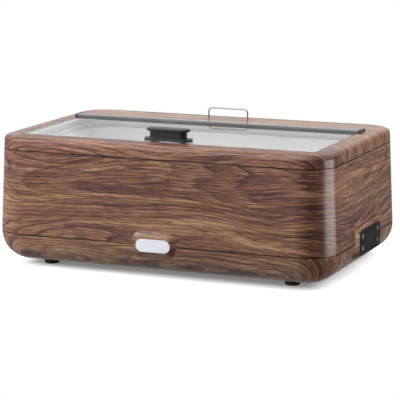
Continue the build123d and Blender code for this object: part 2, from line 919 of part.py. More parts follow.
def make_board_screws():
    """Screws that hold the power board on its posts."""
    top = power_board_z + board_thickness
    screws = []
    for x, y in board_posts:
        head = upright(x, y, small_head_radius, top, top + small_head_height)
        screws.append(head + upright(x, y, small_screw_radius, power_board_z - board_screw_depth, top))
    return Compound(children=screws)


def side_plate(outline, low_x, high_x):
    """Plate parallel to the right side, at the control panel, between two depths."""
    return extrude(Plane.YZ.offset(low_x) * Pos(panel_y, panel_z) * outline, high_x - low_x)


def button_places():
    """Button centres across and up the panel, by name."""
    return {
        "button_power": (-button_offset_y, button_offset_z),
        "button_timer": (-button_offset_y, -button_offset_z),
        "button_plus": (button_offset_y, button_offset_z),
        "button_minus": (button_offset_y, -button_offset_z),
    }


def sloped_block(plane, outline, length, height, side_slope, top_slope, low_slope, depth, corner=0.0):
    """Block that widens backwards from a face, each side by its own slope."""
    back_length = length + 2 * depth * side_slope
    back_height = height + depth * (top_slope + low_slope)
    lift = depth * (top_slope - low_slope) / 2
    if corner:
        back_corner = corner + depth * low_slope
        front = plane * outline(length, height, corner)
        back = plane.offset(-depth) * Pos(0, lift) * outline(back_length, back_height, back_corner)
    else:
        front = plane * outline(length, height)
        back = plane.offset(-depth) * Pos(0, lift) * outline(back_length, back_height)
    return loft([front.face(), back.face()], ruled=True)


def make_panel_bezel():
    """Raised frame with sloping sides that bridges the seam and carries the panel."""
    bezel = sloped_block(
        Plane(origin=(panel_face_x, panel_y, panel_z), x_dir=(0, 1, 0), z_dir=(1, 0, 0)),
        RectangleRounded,
        panel_length + 2 * panel_margin,
        panel_height + 2 * panel_margin,
        panel_bevel / panel_rise,
        panel_bevel / panel_rise,
        panel_low_bevel / panel_rise,
        panel_depth,
        panel_corner + panel_margin,
    )
    bezel -= outer_form()
    pocket = RectangleRounded(
        panel_length + 2 * inset_gap, panel_height + 2 * inset_gap, panel_corner + inset_gap
    )
    bezel -= side_plate(pocket, panel_back_x, panel_face_x + over)
    return bezel - panel_opening()


def make_control_panel():
    """Black face plate with four button holes, a display opening and two posts."""
    outline = RectangleRounded(panel_length, panel_height, panel_corner)
    plate = side_plate(outline, panel_back_x, panel_face_x)
    plate = chamfer(plate.faces().sort_by(Axis.X)[-1].edges(), panel_edge)
    display = RectangleRounded(
        display_length + 2 * inset_gap, display_height + 2 * inset_gap, display_corner + inset_gap
    )
    plate -= side_plate(display, panel_face_x - display_thickness - display_step, panel_face_x + over)
    slot = RectangleRounded(
        display_length - 2 * display_ledge,
        display_height - 2 * display_ledge,
        display_corner - display_ledge / 2,
    )
    plate -= side_plate(slot, panel_back_x - over, panel_face_x)
    for y, z in button_places().values():
        hole = Pos(y, z) * Circle(button_radius + button_gap)
        plate -= side_plate(hole, panel_back_x - over, panel_face_x + over)
    for y in (-panel_post_y, panel_post_y):
        plate += side_plate(Pos(y, 0) * Circle(panel_post_radius), board_front_x, panel_back_x)
    return plate


def make_display_window():
    """Smoked window set flush in the face plate."""
    outline = RectangleRounded(display_length, display_height, display_corner)
    face_x = panel_face_x - display_step
    return side_plate(outline, face_x - display_thickness, face_x)


def make_button(y, z):
    """Round push button with a collar that stops it behind the face plate."""
    cap = Pos(y, z) * Circle(button_radius)
    cap = side_plate(cap, panel_back_x - button_gap, panel_face_x + button_proud)
    cap = fillet(cap.faces().sort_by(Axis.X)[-1].edges(), button_edge_radius)
    collar_front = panel_back_x - button_flange_gap
    collar_rear = collar_front - button_flange_height
    collar = side_plate(Pos(y, z) * Circle(button_flange_radius), collar_rear, collar_front)
    plunger = side_plate(Pos(y, z) * Circle(plunger_radius), collar_rear - plunger_length, collar_rear)
    return cap + collar + plunger


def make_control_board():
    """Control board on the panel's posts, with a switch behind each button."""
    inset = 2 * (panel_ledge + board_edge_gap)
    corner = panel_corner - inset / 2
    outline = RectangleRounded(panel_length - inset, panel_height - inset, corner)
    board = side_plate(outline, board_front_x - board_thickness, board_front_x)
    plunger_end = panel_back_x - button_flange_gap - button_flange_height - plunger_length
    for y, z in button_places().values():
        switch = Pos(y, z) * Rectangle(switch_size, switch_size)
        board += side_plate(switch, board_front_x, plunger_end - button_travel - display_step)
    margin = 2 * display_module_margin
    module = Rectangle(display_length - margin, display_height - margin)
    board += side_plate(module, board_front_x, board_front_x + display_module_height)
    chip = Pos(0, -chip_below) * Rectangle(chip_length, chip_width)
    return board + side_plate(chip, board_front_x - board_thickness - chip_height, board_front_x)


def front_plate(outline, low_y, high_y):
    """Plate parallel to the front, at the badge, between two depths."""
    depth = high_y - low_y
    return extrude(Plane.XZ.offset(-high_y) * Pos(0, lower_seam_z) * outline, depth)


def make_badge_bezel():
    """Raised stadium with sloping sides that bridges the seam on the front."""
    bezel = sloped_block(
        Plane(origin=(0, badge_face_y, lower_seam_z), x_dir=(1, 0, 0), z_dir=(0, -1, 0)),
        SlotOverall,
        badge_length + 2 * badge_margin,
        badge_height + 2 * badge_margin,
        badge_side_bevel / badge_rise,
        badge_top_bevel / badge_rise,
        badge_low_bevel / badge_rise,
        badge_depth,
    )
    bezel -= outer_form()
    pocket = SlotOverall(badge_length + 2 * inset_gap, badge_height + 2 * inset_gap)
    return bezel - front_plate(pocket, badge_face_y - over, badge_face_y + badge_thickness)


def make_badge_plate():
    """Bare white plate in the badge's recess."""
    outline = SlotOverall(badge_length, badge_height)
    plate = front_plate(outline, badge_face_y, badge_face_y + badge_thickness)
    return fillet(plate.faces().sort_by(Axis.Y)[0].edges(), badge_edge)


def window_block(gap, front_corner, low, high, rear_y):
    """Block the shape of the window, smaller by a gap."""
    half_x = window_x - gap
    front = window_front_y + gap
    block = Pos(0, (front + rear_y) / 2, (low + high) / 2) * Box(2 * half_x, rear_y - front, high - low)
    edges = block.edges().filter_by(Axis.Z).sort_by(Axis.Y)[:2]
    return fillet(edges, front_corner)


def ear_side(side, low_x, high_x):
    """Turns a pair of distances from the window's edge into places on one side."""
    return sorted((side * (window_x + low_x), side * (window_x + high_x)))


def make_top_frame():
    """Crowned top frame with the window, the rear deck and the tabs it stands on."""
    frame = crowned_block(0, rim_z, crown_rise, rim_edge_radius, frame_low_z)
    cavity_edge = min(rim_edge_radius - wall, cavity_edge_limit)
    frame -= crowned_block(wall, deck_underside_z, 0, cavity_edge, frame_low_z - over)
    window_low = deck_underside_z - over
    frame -= window_block(0, window_front_corner, window_low, deck_z + over, deck_front_y)
    wire_hole = wire_radius + screw_clearance
    slot_length = ear_length + 2 * ear_slot_end_gap
    for side in (-1, 1):
        low, high = ear_side(side, -over, ear_thickness + ear_slot_gap)
        slot = Box(high - low, slot_length, ear_slot_height)
        frame -= Pos((low + high) / 2, (ear_rear_y + ear_front_y) / 2, deck_z) * slot
        frame -= upright(side * bail_half_width, bail_y, wire_hole, frame_low_z, deck_z + over)
    frame += lift_tabs()
    rib_x = half_width - deck_rib_from_side
    low_y = collar_rear_y + deck_rib_gap
    high_y = half_depth - wall_lean - wall + rib_root
    rib_z = deck_underside_z - deck_rib_height / 2 + deck_rib_root
    for x in (-rib_x, -deck_rib_x, 0, deck_rib_x, rib_x):
        rib = Pos(x, (low_y + high_y) / 2, rib_z) * Box(deck_rib_thickness, high_y - low_y, deck_rib_height)
        frame += rib & leaning_block(wall - weld, frame_low_z, rim_z - crown_rise)
    for x, y in collar_screw_places() + ear_screw_places(-1) + ear_screw_places(1):
        hole_top = deck_underside_z + deck_screw_hole
        frame -= upright(x, y, small_screw_radius + screw_clearance, deck_underside_z - over, hole_top)
    return frame


def lift_tabs():
    """Six tabs inside the frame's walls, on which it stands on the shelf."""
    inset = wall + lip_clearance + lip_thickness + lift_tab_gap
    top = deck_underside_z - lift_tab_below_deck
    tabs = leaning_ring(inset, lift_tab_thickness, shelf_z, top)
    tabs += leaning_ring(wall - weld, inset - wall + lift_tab_lap, frame_low_z + lip_height, top)
    across = Box(2 * body_width, lift_tab_width, lift_tab_reach)
    columns = Pos(0, lift_tab_front_y, upper_seam_z) * across
    columns += Pos(0, lift_tab_rear_y, upper_seam_z) * across
    tab_x = half_width - lift_tab_from_side
    for x in (-tab_x, tab_x):
        rear = Box(lift_tab_width, lift_tab_reach, lift_tab_reach)
        columns += Pos(x, half_depth, upper_seam_z) * rear
    return tabs & columns


def make_drip_collar():
    """Steel collar under the window that turns condensate back into the pan."""
    low = basin_flange_z + collar_foot_gap
    top = deck_underside_z
    half_y = (collar_rear_y - collar_front_y) / 2
    centre_y = (collar_rear_y + collar_front_y) / 2
    outside = straight_block(collar_x + sheet, half_y + sheet, collar_corner, low, top, centre_y)
    corner = collar_corner - sheet
    collar = outside - straight_block(collar_x, half_y, corner, low - over, top - sheet, centre_y)
    front = collar_front_y + collar_front_flange
    opening_x = collar_x - collar_side_flange
    opening = Box(2 * opening_x, collar_rear_y - front, 4 * sheet)
    collar -= Pos(0, (front + collar_rear_y) / 2, top) * opening
    relief_low = ear_front_y - collar_relief
    relief_x = window_x + ear_thickness + ear_slot_gap + sheet / 2
    relief = Box(2 * relief_x, collar_rear_y - relief_low, 4 * sheet)
    collar -= Pos(0, (relief_low + collar_rear_y) / 2, top) * relief
    for x, y in collar_screw_places():
        collar -= upright(x, y, small_screw_radius + screw_clearance, top - 2 * sheet, top + over)
    return collar


def make_hinge_ear(side):
    """Hinge ear in a slot at the end of the rail, with a foot under the deck."""
    low, high = ear_side(side, ear_gap, ear_gap + ear_thickness)
    top = deck_z + rail_height
    low_z = deck_underside_z - ear_drop
    profile = Pos((ear_front_y + ear_rear_y) / 2, (top + low_z) / 2) * Rectangle(
        ear_rear_y - ear_front_y, top - low_z
    )
    ear = extrude(Plane.YZ.offset(low) * profile, high - low)
    upper = ear.edges().filter_by(Axis.X).sort_by(Axis.Z)[-2:]
    ear = fillet(upper.sort_by(Axis.Y)[:1], ear_corner)
    ear = chamfer(ear.edges().filter_by(Axis.X).group_by(Axis.Z)[-1].sort_by(Axis.Y)[-1:], ear_corner)
    flange_front = deck_front_y + ear_foot_gap
    flange_x = side * (window_x + ear_gap + ear_thickness - ear_foot_length / 2)
    ear += Pos(flange_x, (flange_front + ear_rear_y) / 2, deck_underside_z - ear_foot_thickness / 2) * Box(
        ear_foot_length, ear_rear_y - flange_front, ear_foot_thickness
    )
    hole_low = deck_underside_z - ear_foot_thickness - over
    for x, y in ear_screw_places(side):
        ear -= upright(x, y, small_screw_radius + screw_clearance, hole_low, deck_underside_z + over)
    pin_hole = Cylinder(pin_radius + pin_press, 4 * ear_thickness)
    return ear - Pos((low + high) / 2, hinge_y, hinge_z) * Rot(0, 90, 0) * pin_hole


def ear_screw_places(side):
    """Two screws in the foot of a hinge ear."""
    y = (deck_front_y + ear_foot_gap + ear_rear_y) / 2
    return [(side * (window_x - inset), y) for inset in (ear_screw_first, ear_screw_second)]


def make_ear_screws():
    """Small screws up into the deck through the ears' feet."""
    screws = []
    low = deck_underside_z - ear_foot_thickness
    for x, y in ear_screw_places(-1) + ear_screw_places(1):
        screws.append(small_screw(x, y, low, deck_underside_z + deck_screw_depth))
    return Compound(children=screws)


def small_screw(x, y, seat_z, tip_z):
    """Small pan-headed screw, its head under the seat."""
    head = upright(x, y, small_head_radius, seat_z - small_head_height, seat_z)
    slot = Box(2 * small_screw_radius, screw_slot_width, 2 * screw_slot_depth)
    slot = Pos(x, y, seat_z - small_head_height) * slot
    return head + upright(x, y, small_screw_radius, seat_z, tip_z) - slot


def collar_screw_places():
    """Screws in the collar's front and side flanges."""
    front_y = collar_front_y + collar_screw_from_front
    side_x = collar_x - small_head_radius - collar_screw_edge
    front = [(x, front_y) for x in (-collar_screw_x, 0, collar_screw_x)]
    return front + [(-side_x, 0), (side_x, 0)]


def make_collar_screws():
    """Small screws up through the collar's flange into the frame."""
    low = deck_underside_z - sheet
    tip = deck_underside_z + deck_screw_depth
    return Compound(children=[small_screw(x, y, low, tip) for x, y in collar_screw_places()])


def make_hinge_pins():
    """Pins fixed in the ears, on which the rail turns."""
    rail_end = window_x - glass_gap
    inner = rail_end - pin_depth
    outer = window_x + ear_gap + ear_thickness
    pins = []
    for side in (-1, 1):
        pin = Rot(0, 90, 0) * Cylinder(pin_radius, outer - inner)
        pins.append(Pos(side * (inner + outer) / 2, hinge_y, hinge_z) * pin)
    return Compound(children=pins)


def make_glass_lid():
    """Toughened glass pane with two holes for the knob."""
    rear_y = rail_front_y + glass_in_rail
    glass = window_block(glass_gap, glass_corner, glass_low_z, deck_z, rear_y)
    glass = chamfer(glass.faces().sort_by(Axis.Z)[-1].edges(), glass_edge)
    glass = chamfer(glass.faces().sort_by(Axis.Z)[0].edges(), glass_edge)
    hole_radius = knob_screw_radius + knob_hole_gap
    for x in (-knob_screw_spacing / 2, knob_screw_spacing / 2):
        glass -= upright(x, knob_y, hole_radius, glass_low_z - over, deck_z + over)
    return glass


def make_hinge_rail():
    """Black rail that clasps the rear edge of the glass and turns on the pins."""
    low = glass_low_z - rail_clearance - rail_flange
    top = deck_z + rail_height
    profile = Pos((rail_front_y + rail_rear_y) / 2, (low + top) / 2) * Rectangle(
        rail_rear_y - rail_front_y, top - low
    )
    half = window_x - glass_gap
    rail = extrude(Plane.YZ.offset(-half) * profile, 2 * half)
    upper = rail.edges().filter_by(Axis.X).sort_by(Axis.Z)[-2:]
    rail = fillet(upper, rail_edge_radius)
    slot_rear = rail_front_y + glass_in_rail + rail_clearance
    slot_low = glass_low_z - rail_clearance
    slot_high = deck_z + rail_clearance
    rail -= Pos(0, (rail_front_y - over + slot_rear) / 2, (slot_low + slot_high) / 2) * Box(
        2 * (half + over), slot_rear - rail_front_y + over, slot_high - slot_low
    )
    for side in (-1, 1):
        bore = Pos(side * half, hinge_y, hinge_z) * Rot(0, 90, 0) * Cylinder(
            pin_radius + pin_clearance, 2 * (pin_depth + pin_end_gap)
        )
        rail -= bore
    return rail


def make_lid_bumpers():
    """Clear silicone dots under the edges of the glass."""
    x = window_x - glass_gap - bumper_radius - bumper_from_edge
    front = window_front_y + bumper_from_front
    rear = rail_front_y - bumper_from_rail
    places = [(side * x, y) for side in (-1, 1) for y in (front, (front + rear) / 2, rear)]
    discs = [upright(px, py, bumper_radius, glass_low_z - bumper_height, glass_low_z) for px, py in places]
    return Compound(children=discs)


def stadium(length, width, low, high):
    """Upright stadium block at the knob's place."""
    return extrude(Pos(0, knob_y, low) * SlotOverall(length, width), high - low)


def knob_screw_holes(low, high):
    """Clearance for the knob's two screws."""
    holes = Part()
    for x in (-knob_screw_spacing / 2, knob_screw_spacing / 2):
        holes += upright(x, knob_y, knob_screw_radius + screw_clearance, low, high)
    return holes


def make_knob_base():
    """Flat foot of the knob on the glass."""
    top = deck_z + knob_base_height
    base = stadium(knob_base_length, knob_base_width, deck_z, top)
    base = fillet(base.faces().sort_by(Axis.Z)[-1].edges(), knob_base_edge)
    return base - knob_screw_holes(deck_z - over, top + over)


def make_knob_grip():
    """Neck and overhanging cap that the fingers hold."""
    low = deck_z + knob_base_height
    mid = low + knob_neck_height
    top = mid + knob_cap_height
    neck = stadium(knob_neck_length, knob_neck_width, low, mid)
    cap = stadium(knob_cap_length, knob_cap_width, mid, top)
    cap = fillet(cap.faces().sort_by(Axis.Z)[-1].edges(), knob_cap_edge)
    cap = fillet(cap.faces().sort_by(Axis.Z)[0].edges(), knob_cap_lower_edge)
    return neck + cap - knob_screw_holes(low - over, mid - knob_screw_end_wall + over)


def make_knob_washers():
    """Washers between the glass and the screw heads."""
    washers = []
    low = glass_low_z - knob_washer_height
    for side in (-1, 1):
        x = side * knob_screw_spacing / 2
        washer = upright(x, knob_y, knob_washer_radius, low, glass_low_z)
        washers.append(washer - upright(x, knob_y, knob_screw_radius + screw_clearance, low - over, deck_z))
    return Compound(children=washers)


def make_knob_screws():
    """Two screws up through the glass into the knob."""
    head_z = glass_low_z - knob_washer_height - screw_head_height
    length = deck_z + knob_base_height + knob_neck_height - knob_screw_end_wall - head_z - screw_head_height
    places = [side * knob_screw_spacing / 2 for side in (-1, 1)]
    return Compound(children=[screw_up(x, knob_y, head_z, length, knob_screw_radius) for x in places])


def make_wire_bail():
    """Bent wire that stands on the rear deck and catches the opened lid."""
    top = deck_z + bail_rise - wire_radius
    low = deck_underside_z - bail_nut_height - bail_tail
    points = [
        (-bail_half_width, bail_y, low),
        (-bail_half_width, bail_y, top),
        (bail_half_width, bail_y, top),
        (bail_half_width, bail_y, low),
    ]
    path = FilletPolyline(*points, radius=bail_bend)
    profile = Plane(origin=path @ 0, z_dir=path % 0) * Circle(wire_radius)
    return sweep(profile, path=path)


def make_bail_nuts():
    """Nuts under the deck on the legs of the bail."""
    nuts = []
    low = deck_underside_z - bail_nut_height
    outline = RegularPolygon(bail_nut_width / 2, 6, major_radius=False)
    for x in (-bail_half_width, bail_half_width):
        nut = extrude(Pos(x, bail_y, low) * outline, bail_nut_height)
        nuts.append(nut - upright(x, bail_y, wire_radius + pin_press, low - over, deck_z))
    return Compound(children=nuts)


def make_parts():
    """Every named piece of the dish."""
    parts = {
        "base_tray": make_base_tray(),
        "body_shell": make_body_shell(),
        "foot_screws": make_foot_screws(),
        "body_screws": make_body_screws(),
        "badge_bezel": make_badge_bezel(),
        "badge_plate": make_badge_plate(),
        "panel_bezel": make_panel_bezel(),
        "control_panel": make_control_panel(),
        "display_window": make_display_window(),
        "control_board": make_control_board(),
        "water_pan": make_water_pan(),
        "food_pan": make_food_pan(),
        "heat_plate": make_heat_plate(),
        "heating_element": make_heating_element(),
        "element_terminals": make_element_terminals(),
        "element_clamps": make_element_clamps(),
        "insulation": make_insulation(),
        "heat_shield": make_heat_shield(),
        "shield_screws": make_shield_screws(),
        "temperature_sensor": make_temperature_sensor(),
        "thermal_cutout": make_thermal_cutout(),
        "power_board": make_power_board(),
        "board_screws": make_board_screws(),
        "inlet_housing": make_inlet_housing(),
        "inlet_pins": make_inlet_pins(),
        "inlet_screws": make_inlet_screws(),
        "top_frame": make_top_frame(),
        "drip_collar": make_drip_collar(),
        "collar_screws": make_collar_screws(),
        "hinge_ear_left": make_hinge_ear(-1),
        "hinge_ear_right": make_hinge_ear(1),
        "ear_screws": make_ear_screws(),
        "hinge_pins": make_hinge_pins(),
        "wire_bail": make_wire_bail(),
        "bail_nuts": make_bail_nuts(),
        "glass_lid": make_glass_lid(),
        "hinge_rail": make_hinge_rail(),
        "lid_bumpers": make_lid_bumpers(),
        "knob_base": make_knob_base(),
        "knob_grip": make_knob_grip(),
        "knob_washers": make_knob_washers(),
        "knob_screws": make_knob_screws(),
    }
    names = ("foot_front_left", "foot_rear_left", "foot_front_right", "foot_rear_right")
    for name, (x, y) in zip(names, corners(foot_x, foot_y)):
        parts[name] = make_foot(x, y)
    for name, (y, z) in button_places().items():
        parts[name] = make_button(y, z)
    return parts


os.makedirs("parts", exist_ok=True)
for name, shape in make_parts().items():
    export_step(shape, f"parts/{name}.step")
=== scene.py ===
import math

import bmesh
import bpy
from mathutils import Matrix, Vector


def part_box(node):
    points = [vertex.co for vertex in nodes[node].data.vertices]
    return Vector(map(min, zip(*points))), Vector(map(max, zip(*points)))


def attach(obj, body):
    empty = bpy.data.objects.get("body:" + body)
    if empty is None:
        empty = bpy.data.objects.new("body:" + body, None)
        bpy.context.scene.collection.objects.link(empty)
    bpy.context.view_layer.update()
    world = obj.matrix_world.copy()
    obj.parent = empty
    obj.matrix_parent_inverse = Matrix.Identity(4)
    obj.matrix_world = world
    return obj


# Electric chafing dish in a walnut-look case, looked at from the front right.
# Metres, +Z up, front towards -Y, control panel on the +X side.

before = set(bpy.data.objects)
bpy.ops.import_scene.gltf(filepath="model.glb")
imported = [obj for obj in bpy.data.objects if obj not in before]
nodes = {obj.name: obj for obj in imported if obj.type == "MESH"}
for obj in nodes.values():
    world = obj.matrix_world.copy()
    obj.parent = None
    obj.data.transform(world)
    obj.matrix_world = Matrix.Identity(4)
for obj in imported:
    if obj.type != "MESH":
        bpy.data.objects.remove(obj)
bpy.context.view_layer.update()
shell_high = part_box("body_shell")[1]

# The case: its rounded upright corners turn about points at straight_x and straight_y.
corner_radius = 0.059
straight_x = shell_high.x - corner_radius
straight_y = shell_high.y - corner_radius
deck_z = 0.228
lower_seam_z = 0.060
upper_seam_z = 0.2035

# Printed marks on the buttons.
mark_width = 0.00062
mark_sunk = 0.0002
mark_proud = 0.00004
mark_reach = 0.0019
power_arc = (125, 415)
power_bar = (0.0004, 0.0026)
clock_hands = (0.0011, 0.0009)

# Studio as gloss sees it: an overhead light, a pale wall at the rear left and a soft box at the front left.
# Levels go by degrees round the dish, from the front towards the panel's side. A band is where an edge
# starts and where it ends, in degrees round the dish, or as the upward part of a direction of length 1.
gloss_levels = (
    (-180, 0.30), (-140, 0.36), (-95, 0.50), (-60, 0.80), (-30, 0.80), (-11, 0.40), (6, 0.05), (130, 0.05),
    (138, 0.20), (166, 0.20), (180, 0.30),
)
overhead_gloss = 1.0
overhead_band = (0.22, 0.5)
wall_gloss = 0.74
wall_foot = (0.09, 0.12)
wall_top = (0.20, 0.24)
wall_end = (-148, -140)
front_gloss = 2.0
front_foot = (0.0, 0.35)
front_top = (0.80, 0.95)
front_start = (-75, -60)
front_end = (-5, 12)

# The world's light on everything that isn't gloss.
fill_level = 0.30

# Bright card beside the dish, for gloss alone: its reach, and the bands over which its four edges fade.
card_gloss = 4.6
card_x = 0.75
card_y = (-0.29, 0.19)
card_z = (-0.06, 0.235)
card_front = (-0.28, -0.195)
card_rear = (0.15, 0.187)
card_foot = (-0.05, 0.0)
card_top = (0.19, 0.23)

# Floor: its bands are distances outwards from the case's outline.
floor_reach = 9.0
floor_pale = (0.95, 0.95, 0.95, 1.0)
floor_bounce = (0.30, 0.30, 0.30, 1.0)
floor_glow_band = (-0.065, 0.020)
floor_glow = (0.12, 0.90)
floor_white_band = (0.05, 0.16)

# Lamps: place, the point that each is turned to, width and height, and power.
lamps = {
    "overhead": ((-0.2, -0.1, 2.2), (0.0, 0.0, 0.1), (2.4, 2.0), 46.0),
    "front_left": ((-2.3, -1.45, 1.1), (0.0, 0.0, 0.1), (1.4, 1.6), 88.0),
    "right_rear": ((1.45, 0.85, 0.80), (0.3, -0.05, 0.12), (0.8, 1.2), 22.0),
}

# Camera where the photograph was taken from. Its lens and sensor are in millimetres.
camera_place = (1.2660, -3.0553, 0.7190)
camera_target = (0.00138, 0.0, 0.10317)
camera_lens = 173.0
camera_sensor = 36.0
camera_reach = 50.0

white = (1.0, 1.0, 1.0, 1.0)


def srgb(red, green, blue):
    """Linear colour of an 8-bit screen colour."""
    values = []
    for value in (red, green, blue):
        share = value / 255
        values.append(share / 12.92 if share <= 0.04045 else ((share + 0.055) / 1.055) ** 2.4)
    return (*values, 1.0)


def shaded(colour, factor):
    """Colour made lighter or darker by a factor, no lighter than white."""
    return [min(1.0, value * factor) for value in colour[:3]] + [1.0]


class Graph:
    """Short calls for the shader nodes of a material or of the world."""

    def __init__(self, tree):
        self.tree = tree
        self.tree.nodes.clear()

    def add(self, kind, values=None, **settings):
        """New node, its inputs set or linked from values, its properties from settings."""
        node = self.tree.nodes.new("ShaderNode" + kind)
        for key, value in settings.items():
            setattr(node, key, value)
        for key, value in (values or {}).items():
            if isinstance(value, bpy.types.NodeSocket):
                self.tree.links.new(value, node.inputs[key])
            else:
                node.inputs[key].default_value = value
        return node

    def split(self, vector):
        """The three numbers of a vector."""
        return self.add("SeparateXYZ", {0: vector}).outputs

    def join(self, x=0.0, y=0.0, z=0.0):
        """Vector from three numbers or sockets."""
        return self.add("CombineXYZ", {0: x, 1: y, 2: z}).outputs[0]

    def length(self, x, y):
        """Length of a level vector."""
        return self.add("VectorMath", {0: self.join(x, y)}, operation="LENGTH").outputs["Value"]

    def math(self, operation, first, second=0.0, third=0.0):
        """Result of a Math node."""
        return self.add("Math", {0: first, 1: second, 2: third}, operation=operation).outputs[0]

    def times(self, first, *others):
        """Product of numbers or sockets."""
        for other in others:
            first = self.math("MULTIPLY", first, other)
        return first

    def held(self, value, limit):
        """Value held between minus and plus a limit."""
        return self.math("MAXIMUM", self.math("MINIMUM", value, limit), -limit)

    def scaled(self, vector, x, y, z):
        """Vector times three factors."""
        return self.add("VectorMath", {0: vector, 1: (x, y, z)}, operation="MULTIPLY").outputs[0]

    def noise(self, vector, scale=1.0, detail=3.0, roughness=0.5):
        """Value of a noise texture."""
        values = {"Vector": vector, "Scale": scale, "Detail": detail, "Roughness": roughness}
        return self.add("TexNoise", values).outputs[0]

    def remap(self, value, band, low, high):
        """Value moved from a band to a range between low and high, and held inside it."""
        values = {0: value, 1: band[0], 2: band[1], 3: low, 4: high}
        return self.add("MapRange", values).outputs[0]

    def rise(self, value, band):
        """From 0 to 1 across a band of the value."""
        return self.remap(value, band, 0.0, 1.0)

    def fall(self, value, band):
        """From 1 to 0 across a band of the value."""
        return self.remap(value, band, 1.0, 0.0)

    def ramp(self, value, stops):
        """Colour ramp through (position, colour) stops."""
        node = self.add("ValToRGB", {0: value})
        elements = node.color_ramp.elements
        while len(elements) < len(stops):
            elements.new(0.5)
        for element, (position, colour) in zip(elements, stops):
            element.position = position
            element.color = colour
        return node.outputs[0]

    def mix(self, factor, first, second, blend="MIX"):
        """Mix of two colours."""
        node = self.add("Mix", {0: factor}, data_type="RGBA", blend_type=blend)
        for index, value in ((6, first), (7, second)):
            if isinstance(value, bpy.types.NodeSocket):
                self.tree.links.new(value, node.inputs[index])
            else:
                node.inputs[index].default_value = value
        return node.outputs[2]

    def mix_shader(self, factor, first, second):
        """Mix of two shaders."""
        return self.add("MixShader", {0: factor, 1: first, 2: second}).outputs[0]

    def glow(self, strength):
        """White light given off at a strength."""
        return self.add("Emission", {0: white, 1: strength}).outputs[0]

    def diffuse(self, colour):
        """Matt shader of a colour."""
        return self.add("BsdfDiffuse", {0: colour}).outputs[0]


class Look(Graph):
    """A material under construction."""

    def __init__(self, name):
        self.material = bpy.data.materials.new(name)
        self.material.use_nodes = True
        super().__init__(self.material.node_tree)
        self.output = self.tree.nodes.new("ShaderNodeOutputMaterial")

    def place(self):
        """Coordinates fixed to the piece, in metres."""
        return self.add("TexCoord").outputs["Object"]

    def bump(self, height, distance, strength):
        """Normal from a height between 0 and 1."""
        return self.add("Bump", {"Height": height, "Distance": distance, "Strength": strength}).outputs[0]

    def show(self, shader):
        """Makes a shader the material's surface."""
        self.tree.links.new(shader, self.output.inputs["Surface"])

    def surface(self, values):
        """Principled shader as the material's surface."""
        self.show(self.add("BsdfPrincipled", values).outputs[0])


# Where the film's pattern lies, in metres: two numbers along the grain and one across it.

def band_place(look):
    """Round the body, with the grain running level and no joint."""
    x, y, z = look.split(look.place())
    away_x = look.math("ABSOLUTE", x)
    held_x = look.math("MINIMUM", away_x, straight_x)
    held_y = look.held(y, straight_y)
    past_x = look.math("SUBTRACT", away_x, held_x)
    past_y = look.math("SUBTRACT", held_y, y)
    turn = look.times(look.math("ARCTAN2", past_x, past_y), corner_radius)
    forward = look.times(look.math("SIGN", y), -1.0)
    along = look.math("MULTIPLY_ADD", look.math("SUBTRACT", held_x, straight_x), forward, straight_x)
    along = look.math("ADD", look.math("ADD", along, turn), look.math("ADD", held_y, straight_y))
    radius = (2 * straight_x + 2 * straight_y) / math.pi + corner_radius
    angle = look.times(along, look.math("DIVIDE", look.math("SIGN", x), radius))
    return (
        look.times(look.math("COSINE", angle), radius),
        look.times(look.math("SINE", angle), radius),
        z,
    )


def drape_place(look, level):
    """Laid flat along X at a height and drawn down or up over the sides."""
    x, y, z = look.split(look.place())
    past_x = look.math("SUBTRACT", x, look.held(x, straight_x))
    past_y = look.math("SUBTRACT", y, look.held(y, straight_y))
    drop = look.math("ABSOLUTE", look.math("SUBTRACT", z, level))
    least_reach = 0.004
    share = look.math("DIVIDE", drop, look.math("MAXIMUM", look.length(past_x, past_y), least_reach))
    return (
        look.math("MULTIPLY_ADD", past_x, share, x),
        0.0,
        look.math("MULTIPLY_ADD", past_y, share, y),
    )


def top_place(look):
    """Laid on the deck and drawn down over the sides."""
    return drape_place(look, deck_z)


def tray_place(look):
    """Laid at the lower seam and drawn down over the sides."""
    return drape_place(look, lower_seam_z)


def front_place(look):
    """Flat on the front, with the grain running level."""
    place = look.split(look.place())
    return place["X"], 0.0, place["Z"]


def side_place(look):
    """Flat on the right side, with the grain running level."""
    place = look.split(look.place())
    return place["Y"], 0.0, place["Z"]


# Noise fields of the film: waves per metre along and across the grain, shift, detail and roughness.
film_fields = {
    "sway": (3.0, 5.0, 0.0, 1.0, 0.4),
    "wobble": (11.0, 28.0, 5.0, 2.0, 0.5),
    "tremble": (60.0, 190.0, 7.0, 1.0, 0.5),
    "figure": (1.6, 9.0, 47.0, 1.0, 0.4),
    "fray": (9.0, 110.0, 51.0, 2.0, 0.5),
    "fading": (2.6, 40.0, 53.0, 1.0, 0.5),
    "broad": (2.2, 22.0, 9.0, 2.0, 0.5),
    "bands": (3.6, 84.0, 12.0, 2.0, 0.55),
    "lines": (7.0, 520.0, 17.0, 2.0, 0.6),
    "pores": (44.0, 900.0, 23.0, 1.0, 0.6),
    "mauve": (3.0, 28.0, 43.0, 2.0, 0.5),
}

# How far three of them bend the grain sideways, in metres.
film_bends = {"sway": 0.10, "wobble": 0.008, "tremble": 0.0006}

# Layers of the film's tone: the band of each field that counts, and its weight.
film_layers = {
    "broad": ((0.36, 0.64), 0.17),
    "bands": ((0.36, 0.64), 0.14),
    "lines": ((0.40, 0.60), 0.30),
    "pores": ((0.42, 0.58), 0.24),
}

# Growth rings, and the dark late wood at the edge of each.
rings_per_metre = 60.0
figure_rings = 24.0
ring_fray = 0.8
ring_weight = 0.18
late_band = (0.72, 0.96)
late_fading = (0.34, 0.60)
late_least = 0.15
late_most = 0.95
late_colour = srgb(62, 36, 35)

